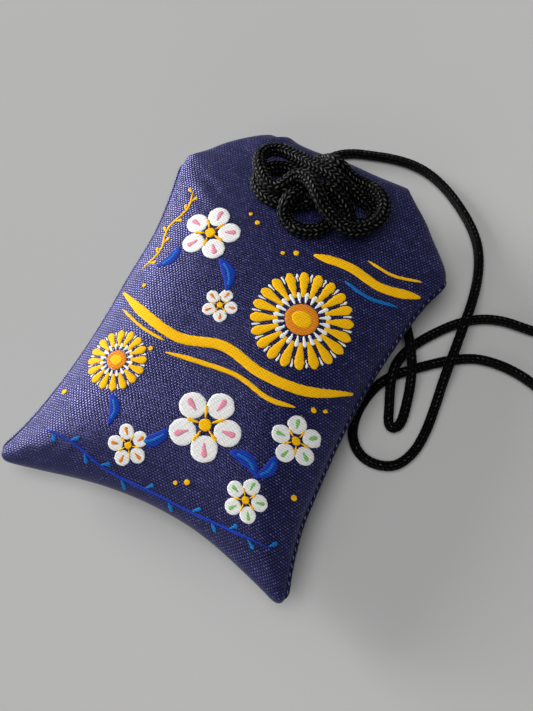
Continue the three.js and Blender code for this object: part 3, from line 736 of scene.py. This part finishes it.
def petal(colour, centre, angle, start, end, width, lift=SATIN_LIFT):
    """A petal that widens from its foot and has a round tip."""
    s = rounded()
    out = start + (end - start) * s
    spine = np.array(centre) + out[:, None] * (math.cos(angle), math.sin(angle))
    tip = np.clip((s - PETAL_BLUNT) / (1 - PETAL_BLUNT), 0, 1)
    widening = PETAL_FOOT + (1 - PETAL_FOOT) * np.minimum(s / PETAL_BLUNT, 1)
    half = width / 2 * widening * np.sqrt(1 - tip ** 2)
    patch(colour, spine, half, lift)


def disc(colour, centre, radius, lift=SATIN_LIFT):
    s = rounded()
    spine = np.stack([centre[0] + radius * (2 * s - 1), np.full_like(s, centre[1])], -1)
    patch(colour, spine, radius * np.sqrt(np.maximum(1 - (2 * s - 1) ** 2, 0)), lift)


def leaf(colour, vein, centre, angle, length, width):
    """A pointed leaf with a bright vein."""
    s = np.linspace(0, 1, PATCH_ROWS)
    bend = LEAF_BEND * length * np.sin(math.pi * s)
    ahead = np.array((math.cos(angle), math.sin(angle)))
    aside = np.array((-ahead[1], ahead[0]))
    spine = np.array(centre) + (length * s)[:, None] * ahead + bend[:, None] * aside
    patch(colour, spine, width / 2 * np.sin(math.pi * s ** 0.8) + 0.02)
    inner = slice(3, -4)
    patch(vein, spine[inner], np.full(len(spine[inner]), VEIN_HALF), SATIN_LIFT + VEIN_RISE)


def band(colour, width, points):
    """A flowing band with tapered ends."""
    flat = smooth_route([(x, y, 0) for x, y in points], 16)[:, :2]
    s = np.linspace(0, 1, len(flat))
    patch(colour, flat, width / 2 * np.clip(BAND_TAPER * np.minimum(s, 1 - s), BAND_TIP, 1) ** BAND_POWER)


def sprig(colour, width, points, leaf_colour, leaf_length):
    """A fine stem with small leaves on alternate sides."""
    band(colour, width, points)
    flat = smooth_route([(x, y, 0) for x, y in points], 6)[:, :2]
    heading = np.gradient(flat, axis=0)
    for k, (spot, way) in enumerate(zip(flat[2:-1:3], heading[2:-1:3])):
        angle = math.atan2(way[1], way[0]) + (SPRIG_LEAN if k % 2 else -SPRIG_LEAN)
        petal(leaf_colour, spot, angle, SPRIG_LEAF_FOOT, leaf_length, SPRIG_LEAF_WIDTH * leaf_length)


def chrysanthemum(centre, radius, petals, turn):
    """Gold flower of slender petals, with a white inner ring and an orange eye."""
    wide = 2 * radius * math.sin(math.pi / petals)
    for k in range(petals):
        angle = turn + 2 * math.pi * k / petals
        between = angle + math.pi / petals
        petal("gold", centre, angle, 0.46 * radius, radius, 0.66 * wide)
        petal("white", centre, between, 0.34 * radius, 0.56 * radius, 0.30 * wide, 0.2)
        petal("white", centre, between, 0.80 * radius, 0.97 * radius, 0.16 * wide, 0.14)
    disc("orange", centre, 0.33 * radius, 0.18)
    disc("gold", centre, 0.20 * radius, 0.24)


def plum(centre, radius, turn, tint):
    """White five-petalled blossom with tinted hearts, fine stamens and a gold eye."""
    for k in range(5):
        angle = turn + 2 * math.pi * k / 5
        ahead = np.array((math.cos(angle), math.sin(angle)))
        disc("white", centre + 0.62 * radius * ahead, 0.365 * radius)
        petal(tint, centre, angle, 0.46 * radius, 0.84 * radius, 0.22 * radius, 0.23)
        petal("gold", centre, angle + math.pi / 5, 0.18 * radius, 0.52 * radius, 0.11 * radius, 0.24)
    disc("gold", centre, 0.17 * radius, 0.25)


def lay_design():
    for flower in CHRYSANTHEMUMS:
        chrysanthemum(*flower)
    for centre, *rest in PLUMS:
        plum(np.array(centre), *rest)
    for placed in LEAVES:
        leaf("royal", "cyan", *placed)
    for strip in BANDS:
        band(*strip)
    sprig("gold", 0.42, SIDE_SPRIG, "gold", 1.5)
    sprig("royal", 0.5, FOOT_SPRIG, "cyan", 1.7)
    for x, y, size in DOTS:
        disc("gold", (x, y), size)


def woven_design(colours):
    lay_design()
    for colour, patches in designs.items():
        parts = []
        for plan, lift in patches:
            x = jagged(plan[..., 0], plan[..., 1])
            y = plan[..., 1]
            top = on_front(x, y, lift)
            under = on_front(x, y, np.minimum(lift, 0) - SATIN_DEPTH)
            points, quads = closed_grids(top, under)
            parts.append((points, quads[:, TURNED_OVER].tolist()))
        points, faces = joined(parts)
        piece = mesh_piece("woven_" + colour, points, faces, colours[colour])
        point_values(piece, "cloth", points)


# Knot: one cord from hole to hole, as x and y about the knot's middle and a level above the cloth
KNOT_ROUTE = [
    # from the left hole over the other end, and along the top of the right wing
    (-1.3, 4.92, 0.4), (-0.1, 4.75, 0.98), (1.3, 4.3, 1), (2.9, 3.85, 0.68), (4.7, 3.6, 0.4),
    (6.7, 3.45, 0.45),
    # right wing, upper ring
    (8.7, 2.9, 0.75), (10.3, 1.6, 0.98), (11.2, -0.5, 1), (10.9, -2.8, 1), (9.5, -4.7, 0.95),
    (7.6, -5.6, 0.85), (5.9, -5.5, 1),
    # the arch over the middle
    (4.3, -5, 1.3), (2.8, -4.4, 1.65), (1.6, -3.6, 1.98), (0.4, -2.6, 2.15), (-0.9, -1.6, 2.15),
    (-2.3, -1, 1.98), (-3.7, -1.3, 1.7), (-4.5, -2.4, 1.45), (-5.1, -3.5, 1.25),
    # left wing, upper loop
    (-6.1, -4.2, 1.1), (-7.7, -3.9, 1.08), (-9.3, -2.7, 1.08), (-10.7, -1, 0.98), (-11.3, 0.9, 0.8),
    (-10.7, 2.5, 0.55), (-9.2, 3.3, 0.48), (-7.2, 3.3, 0.52), (-5.2, 3, 0.75), (-3.2, 2.5, 1.05),
    # over the top to the right
    (-1, 2.2, 1.35), (1, 1.9, 1.45), (2.9, 1.5, 1.3), (4.6, 1.15, 0.9),
    # right wing, lower ring
    (6.3, 1.05, 0.4), (7.9, 1, 0.05), (9.2, 0.35, 0), (9.9, -0.9, 0), (9.6, -2.4, 0), (8.6, -3.4, 0),
    (7.3, -3.6, 0.05), (6.5, -3, 0.3), (5.8, -2.2, 0.7), (4.7, -1.6, 1.05),
    # the second arch
    (3.2, -1, 1.3), (1.8, -0.9, 1.34), (0.6, -1.4, 1.2), (0, -2.3, 0.95), (-0.3, -3.3, 0.6),
    # left wing, lower loop
    (-1.2, -4.2, 0.2), (-2.6, -4.8, 0), (-4.2, -5.4, 0), (-5.8, -5.7, 0), (-7.4, -5.5, 0), (-8.8, -4.8, 0),
    (-9.8, -3.7, 0), (-10.2, -2.4, 0), (-9.8, -0.9, 0), (-8.6, 0.3, 0), (-7, 0.95, 0), (-5.2, 1.0, 0),
    (-3.5, 0.5, 0.08),
    # the loop below
    (-2.5, -0.6, 0.3), (-2.3, -2, 0.6), (-2.6, -3.5, 1.02), (-3, -4.9, 1.15), (-3.1, -6.2, 0.98),
    (-2.7, -7.5, 0.4), (-1.5, -8.4, 0.03), (0.1, -8.8, 0), (1.9, -8.3, 0), (3.4, -7.1, 0), (4, -5.4, 0),
    # up behind the middle to the right hole
    (3.7, -3.9, 0), (2.8, -2.5, 0), (1.8, -1.1, 0), (0.9, 0.4, 0.03), (0.3, 2, 0.02),
]
LEFT_TAIL_TURN, RIGHT_TAIL_TURN = 0.0, -1.35
TAIL_BEND = ((0, 3.4), (0, 1.7), (0.42, 0.42), (1.3, 0))
KNOT_BRAID = {"step": 0.11, "around": 60, "stitch": 0.78, "relief": 0.30}


def lead_x(side):
    return LEAD_X + side * LEAD_SPACING / 2


def tail(side, turn):
    """The cord's end from inside the bag, up through the cloth and over towards the knot."""
    x = lead_x(side)
    top = front_height(x, LEAD_Y) + KNOT_CORD / 2 + KNOT_REST
    ahead = math.cos(turn), math.sin(turn)
    return [(x + out * ahead[0], LEAD_Y + out * ahead[1], top - fall) for out, fall in TAIL_BEND]


def knot(material):
    points = []
    for across, up, level in KNOT_ROUTE:
        x, y = KNOT_X + across, KNOT_Y + up
        points.append((x, y, front_height(x, y) + KNOT_CORD / 2 + KNOT_REST + level * KNOT_LEVEL))
    route = smooth_route(tail(-1, LEFT_TAIL_TURN) + points + tail(1, RIGHT_TAIL_TURN)[::-1])
    piece, _ = braid("knot_cord", route, material, None, KNOT_CORD, **KNOT_BRAID)
    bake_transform(piece)
    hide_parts("cord_knot")


# Neck cord: out of the back, beside the bag, through the coil and back in
LEFT_ROUTE = [
    (-3.1, 67.4, 1.3), (-3.3, 69.4, CORD_LIE), (-2.2, 71.5, CORD_LIE), (0.3, 73.3, CORD_LIE),
    (3.8, 74.5, CORD_LIE), (7.6, 75.5, CORD_LIE), (11.2, 75.9, CORD_LIE), (14.7, 75.4, CORD_LIE),
    (18.4, 73.9, CORD_LIE), (21.4, 72.1, CORD_LIE), (24.3, 69.9, CORD_LIE), (26.8, 67.3, CORD_LIE),
    (28.5, 64.4, CORD_LIE), (29.7, 60.9, 1.2), (30.6, 55.8, 2.5), (30.9, 52.5, 2.85), (31.4, 47.4, 2.85),
    (31.6, 44.8, 2.65), (31.9, 42, 1.8), (32.4, 38.4, 1), (32.8, 33.4, CORD_LIE), (32.4, 29.6, CORD_LIE),
    (30.8, 26.6, CORD_LIE), (27.9, 25.4, CORD_LIE), (25.1, 25.7, CORD_LIE), (22.9, 27.6, CORD_LIE),
    (21.9, 30.3, CORD_LIE), (21.8, 33.2, CORD_LIE), (22.4, 36.4, CORD_LIE), (23.6, 38.9, CORD_LIE),
    (25.6, 41.2, CORD_LIE), (28.2, 43.6, CORD_LIE), (31.4, 46.2, CORD_LIE), (34.8, 48.2, CORD_LIE),
    (38.6, 49, CORD_LIE), (42.6, 48.9, CORD_LIE), (47, 47.9, CORD_LIE), (51.5, 46.7, CORD_LIE),
    (55, 46.1, CORD_LIE),
]
RIGHT_ROUTE = [
    (1.9, 65, 2), (4.4, 63.6, 1.1), (9.2, 61.2, CORD_LIE), (14, 57.4, CORD_LIE), (18.2, 53.2, 1),
    (21.2, 49.8, 1.7), (23.2, 47.2, 2.75), (24.7, 45, 2.9), (25.9, 43, 2.9), (26.8, 41, 2.8),
    (27.7, 38.4, 1.65), (28.4, 35.4, 0.95), (28.7, 33.1, CORD_LIE), (28.1, 31.7, CORD_LIE),
    (27.1, 32, CORD_LIE), (26.2, 34.1, CORD_LIE), (25.2, 36.4, 1.6), (24.4, 38.4, 2.8), (24, 40.3, 2.85),
    (24, 42.4, 1.9), (24.6, 44.9, CORD_LIE), (25.8, 47.2, CORD_LIE), (27.6, 49.8, CORD_LIE),
    (30.2, 52.8, CORD_LIE), (33.2, 55, CORD_LIE), (36.6, 56.2, CORD_LIE), (40.4, 56.6, CORD_LIE),
    (43.2, 57.1, CORD_LIE), (45.6, 58.8, CORD_LIE), (46.7, 61.8, CORD_LIE), (47.9, 65.6, 1.1),
    (50.8, 69.4, 1.8), (54.8, 71.6, 2.6),
]
LAYER_TURNS = (COIL_TURNS - 0.5) / 2
COIL_STEPS = 24
NECK_BRAID = {"step": 0.30, "around": 40, "stitch": 0.80, "relief": 0.12, "easing": 12}
CLOTH_PASS = 0.3

# Paper strap round the coil's turns, and how far it raises them where it passes under
STRAP_WIDTH, STRAP_THICKNESS, STRAP_SLACK = 3.0, 0.18, 0.10
STRAP_INNER, STRAP_OUTER = 5.1, 13.45
STRAP_SQUARENESS, STRAP_POINTS = 7, 72
COIL_RAISE = 0.26


def coil_point(turn):
    middle = COIL_TURNS / 2
    radius = COIL_RADIUS - COIL_PITCH * (middle - abs(turn - middle))
    climb = min(max((turn - LAYER_TURNS) / (COIL_TURNS - 2 * LAYER_TURNS), 0), 1)
    angle = COIL_START_ANGLE + 2 * math.pi * turn
    raised = COIL_RAISE * (0.5 + 0.5 * math.cos(angle))
    z = CORD_LIE + COIL_PITCH * climb * climb * (3 - 2 * climb) + raised
    return (COIL_X + radius * math.cos(angle), COIL_Y + radius * math.sin(angle), z)


def off_coil(turn, distance):
    """Point off one end of the coil, straight on by a distance."""
    angle = COIL_START_ANGLE + 2 * math.pi * turn
    way = -distance if turn == 0 else distance
    x, y, z = coil_point(turn)
    return (x - math.sin(angle) * way, y + math.cos(angle) * way, z)


def strap(material):
    low = CORD_LIE - NECK_CORD / 2 + COIL_RAISE - STRAP_SLACK
    high = CORD_LIE + NECK_CORD / 2 + COIL_RAISE + COIL_PITCH + STRAP_SLACK
    middle = (COIL_X + (STRAP_INNER + STRAP_OUTER) / 2, COIL_Y, (low + high) / 2)
    half = np.array(((STRAP_OUTER - STRAP_INNER) / 2, 0, (high - low) / 2))
    turn = np.linspace(0, 2 * math.pi, STRAP_POINTS, endpoint=False)
    round_by = np.stack([np.cos(turn), 0 * turn, np.sin(turn)], -1)
    loop = np.sign(round_by) * np.abs(round_by) ** (2 / STRAP_SQUARENESS)
    rings = []
    for thick, aside in ((0, -1), (STRAP_THICKNESS, -1), (STRAP_THICKNESS, 1), (0, 1)):
        rings.append(middle + loop * (half + thick) + (0, aside * STRAP_WIDTH / 2, 0))
    at = np.arange(len(rings) * len(turn)).reshape(len(rings), -1)
    beside = np.roll(at, -1, axis=0)
    quads = np.stack([at, beside, np.roll(beside, -1, axis=1), np.roll(at, -1, axis=1)], -1).reshape(-1, 4)
    piece = mesh_piece("coil_strap", np.vstack(rings), quads.tolist(), material)
    return piece


def neck_cord(material, paper):
    back_face = float(bag_point(*shares(np.array([LEAD_X]), np.array([LEAD_Y])), False)[0, 2])
    steps = round(COIL_STEPS * COIL_TURNS)
    heights = (RIM_HEIGHT, back_face + CLOTH_PASS, back_face - CLOTH_PASS)
    left_in, right_in = ([(lead_x(side), LEAD_Y, z) for z in heights] for side in (-1, 1))
    coil = [off_coil(0, 2 * NECK_CORD)]
    coil += [coil_point(COIL_TURNS * k / steps) for k in range(steps + 1)]
    coil += [off_coil(COIL_TURNS, 2 * NECK_CORD)]
    route = smooth_route(left_in + LEFT_ROUTE + coil + RIGHT_ROUTE[::-1] + right_in[::-1])
    piece, middle = braid("neck_cord", route, material, "pouch", NECK_CORD, **NECK_BRAID)
    strap(paper)
    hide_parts("neck_cord_left", "neck_cord_right", "neck_cord_coil",
                "eyelet_lead_left", "eyelet_lead_right")


# Wadding pads, soft and uneven, inside the cloth
WADDING_SIDE, WADDING_FOOT, WADDING_TOP = 0.86, 5.0, 54.0
WADDING_COLUMNS, WADDING_ROWS = 60, 80
WADDING_CLEAR, WADDING_RIM, WADDING_LEAST, WADDING_THIN = 1.3, 0.25, 0.45, 0.3
WADDING_SIDE_POWER, WADDING_END_POWER = 10, 14
TUFT_HEIGHT, TUFT_DIP = 0.18, 0.2
PACKET_WIDTH, PACKET_LENGTH, PACKET_CENTRE, PACKET_HALF, PACKET_EASE = 26.4, 44.4, 31.0, 1.55, 1.2


def wadding(name, node, front, material):
    heights = WADDING_FOOT + (WADDING_TOP - WADDING_FOOT) * crowded(WADDING_ROWS, 0.0)
    u, v = np.meshgrid(WADDING_SIDE * crowded(WADDING_COLUMNS, -1.0), heights / BAG_HEIGHT)
    outer = bag_point(u, v, front)
    x, y = outer[..., 0], outer[..., 1]
    way = 1 if front else -1
    tuft = TUFT_HEIGHT * np.sin(1.1 * x + 0.6 * np.sin(0.9 * y)) * np.sin(0.8 * y) - TUFT_DIP
    across = np.abs(u) / WADDING_SIDE
    along = np.abs(2 * (v * BAG_HEIGHT - WADDING_FOOT) / (WADDING_TOP - WADDING_FOOT) - 1)
    edge = np.sqrt(np.maximum((1 - across ** WADDING_SIDE_POWER) * (1 - along ** WADDING_END_POWER), 0))
    room = np.maximum(np.abs(outer[..., 2] - RIM_HEIGHT) - WADDING_CLEAR + tuft, WADDING_LEAST)
    pressed = np.maximum(np.abs(x) - PACKET_WIDTH / 2, np.abs(y - PACKET_CENTRE) - PACKET_LENGTH / 2)
    inner_level = PACKET_HALF * np.clip(0.5 - pressed / PACKET_EASE, 0, 1) + WADDING_RIM
    level = WADDING_RIM + edge * (np.maximum(room, inner_level + WADDING_THIN) - WADDING_RIM)
    low = WADDING_RIM + edge * (inner_level - WADDING_RIM)
    outer[..., 2] = RIM_HEIGHT + way * level
    inner = np.stack([x, y, RIM_HEIGHT + way * low], -1)
    points, quads = closed_grids(outer, inner)
    piece = mesh_piece(name, points, (quads if front else quads[:, ::-1]).tolist(), material)
    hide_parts(node)


def dress(node, material):
    """Gives a CAD node its finish."""
    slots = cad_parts[node].data.materials
    slots.clear()
    slots.append(material)


# Stage, light and camera; each lamp by the direction it shines from, its strength and its spread
FLOOR_SIZE = 6.0
LAMPS = {
    "key": ((-0.42, 0.02, 0.07), 5.7, 0.44),
    "overhead": ((0.08, 0.02, 0.60), 0.06, 1.1),
    "sweep": ((-0.24, -0.68, 0.40), 0.34, 0.36),
    "fill": ((-0.08, -0.06, 0.60), 2.10, 0.84),
}
UNMIRRORED_LAMP = "fill"
SKY_COLOUR, SKY_STRENGTH = (0.95, 0.97, 1.0, 1.0), 0.08


def floor():
    half = FLOOR_SIZE / 2
    corners = [(-half, -half, 0), (half, -half, 0), (half, half, 0), (-half, half, 0)]
    mesh = bpy.data.meshes.new("floor")
    mesh.from_pydata(corners, [], [(0, 1, 2, 3)])
    g = Graph("pale_floor", Roughness=0.9, Specular_IOR_Level=0.1)
    g.set("Base Color", g.mix(g.noise(g.spot(), 9.0, 2.0), *FLOOR_TONES))
    mesh.materials.append(g.material)
    plane = bpy.data.objects.new("floor", mesh)
    bpy.context.scene.collection.objects.link(plane)


def lamp(name, shines_from, strength, spread):
    """A broad even light from one direction."""
    light = bpy.data.lights.new(name, "SUN")
    light.energy = strength
    light.angle = spread
    holder = bpy.data.objects.new(name, light)
    holder.rotation_euler = Vector(shines_from).to_track_quat("Z", "Y").to_euler()
    bpy.context.scene.collection.objects.link(holder)
    return holder


def lights():
    for name, settings in LAMPS.items():
        holder = lamp(name, *settings)
        holder.visible_glossy = name != UNMIRRORED_LAMP
    world = bpy.data.worlds.new("studio")
    world.use_nodes = True
    back = world.node_tree.nodes["Background"]
    back.inputs["Color"].default_value = SKY_COLOUR
    back.inputs["Strength"].default_value = SKY_STRENGTH
    bpy.context.scene.world = world


CAMERA_SPOT = (31.198, 3.356, 130.303 + RIM_HEIGHT)
CAMERA_RIGHT = (0.8841045, 0.4614320, -0.0737549)
CAMERA_AHEAD = (-0.1918835, 0.2145756, -0.9576732)
LENS_PIXELS = 850.0
PHOTO_HEIGHT = 711
FILM_HEIGHT = 36.0
NEAR_CLIP = 0.005


def camera():
    data = bpy.data.cameras.new("camera")
    data.sensor_fit = "VERTICAL"
    data.sensor_height = FILM_HEIGHT
    data.lens = LENS_PIXELS * FILM_HEIGHT / PHOTO_HEIGHT
    data.clip_start = NEAR_CLIP
    right, ahead = Vector(CAMERA_RIGHT), Vector(CAMERA_AHEAD)
    up = right.cross(ahead)
    turned = Matrix((right, up, -ahead)).transposed().to_4x4()
    spot = Vector(place([CAMERA_SPOT])[0])
    view = bpy.data.objects.new("camera", data)
    view.matrix_world = Matrix.Translation(spot) @ turned
    bpy.context.scene.collection.objects.link(view)
    bpy.context.scene.camera = view


def main():
    cloth = brocade_material("brocade_cloth", *CLOTH_AND_PAINTED_LIGHT_TONES)
    # A darker copy of the cloth, painted shade for the right seam roll.
    shaded_edging = brocade_material("brocade_edging_shaded", *SHADED_EDGING_TONES)
    cord = cord_material()
    sewing = thread_material()
    cotton = wadding_material()
    paper = paper_material()
    settle()
    bag(cloth)
    side_seam(-1, "seam_left", "side_seam_left", cloth, sewing)
    # Its roll in the darker copy of the cloth: painted shade.
    side_seam(1, "seam_right", "side_seam_right", shaded_edging, sewing)
    satins = {name: satin_material("satin_" + name, *tones) for name, tones in SATIN_COLOURS.items()}
    woven_design(satins)
    knot(cord)
    neck_cord(cord, paper)
    wadding("wadding_front", "front_wadding", True, cotton)
    wadding("wadding_back", "back_wadding", False, cotton)
    dress("charm_tablet", timber_material())
    dress("charm_wrapper", paper)
    floor()
    lights()
    camera()
    bpy.context.scene.view_settings.view_transform = "Standard"


main()
bpy.context.view_layer.update()
